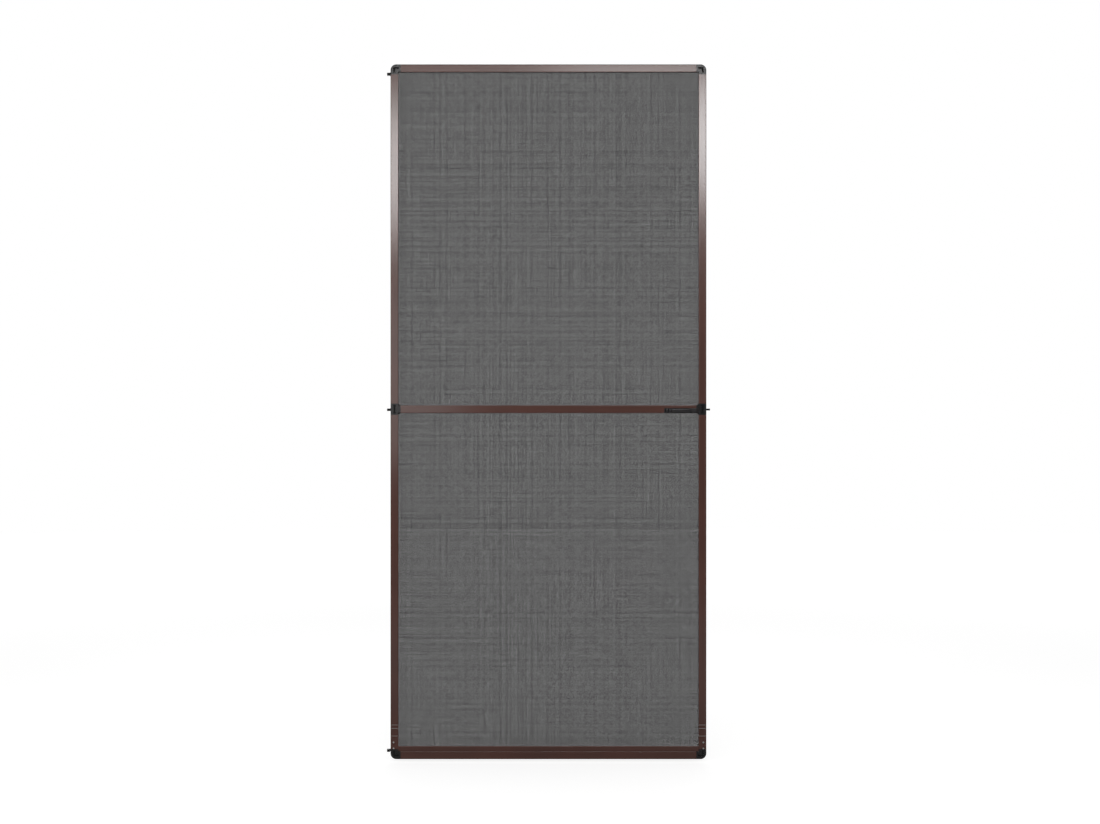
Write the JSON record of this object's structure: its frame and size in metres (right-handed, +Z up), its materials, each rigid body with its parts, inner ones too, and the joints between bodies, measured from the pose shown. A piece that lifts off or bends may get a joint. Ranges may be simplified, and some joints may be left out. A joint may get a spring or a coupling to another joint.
{
  "type": "hinged insect screen door",
  "caption": "Hinged insect screen door: slim brown aluminium frame with a mid rail, moulded corners, grey mesh and a sliding latch.",
  "frame": {"origin": "middle of the bottom hinge bracket's back face, which lies on the door frame", "axes": "+X to the right as seen from the side the leaf opens to, +Y into the door frame, +Z up"},
  "size_m": [1.023, 0.0261, 2.2],
  "materials": {
    "brown_aluminium": "satin",
    "black_plastic": "satin",
    "grey_mesh": "matte",
    "grey_rubber": "matte",
    "zinc_steel": "satin"
  },
  "bodies": {
    "hinge_brackets": {"top_hinge_bracket": "zinc_steel", "top_hinge_pin": "zinc_steel", "middle_hinge_bracket": "zinc_steel", "middle_hinge_pin": "zinc_steel", "bottom_hinge_bracket": "zinc_steel", "bottom_hinge_pin": "zinc_steel"},
    "leaf": {"upper_left_stile": "brown_aluminium", "upper_right_stile": "brown_aluminium", "lower_left_stile": "brown_aluminium", "lower_right_stile": "brown_aluminium", "top_rail": "brown_aluminium", "mid_rail": "brown_aluminium", "bottom_rail": "brown_aluminium", "kick_strip": "brown_aluminium", "top_left_corner": "black_plastic", "top_right_corner": "black_plastic", "bottom_left_corner": "black_plastic", "bottom_right_corner": "black_plastic", "left_tee": "black_plastic", "right_tee": "black_plastic", "latch_track": "black_plastic", "top_hinge_lug": "black_plastic", "middle_hinge_lug": "black_plastic", "bottom_hinge_lug": "black_plastic", "upper_screen": "grey_mesh", "lower_screen": "grey_mesh", "upper_screen_cord": "grey_rubber", "lower_screen_cord": "grey_rubber", "left_foot_screws": "zinc_steel", "right_foot_screws": "zinc_steel"},
    "latch": {"latch_bar": "black_plastic", "latch_tongue": "zinc_steel"}
  },
  "joints": [
    {"name": "leaf_swing", "type": "hinge", "parent": "hinge_brackets", "child": "leaf", "pos_m": [-0.019, -0.014, 0], "axis": [0, 0, -1], "range_deg": [0, 170]},
    {"name": "latch_slide", "type": "slide", "parent": "leaf", "child": "latch", "axis": [-1, 0, 0], "range_m": [0, 0.012]}
  ]
}
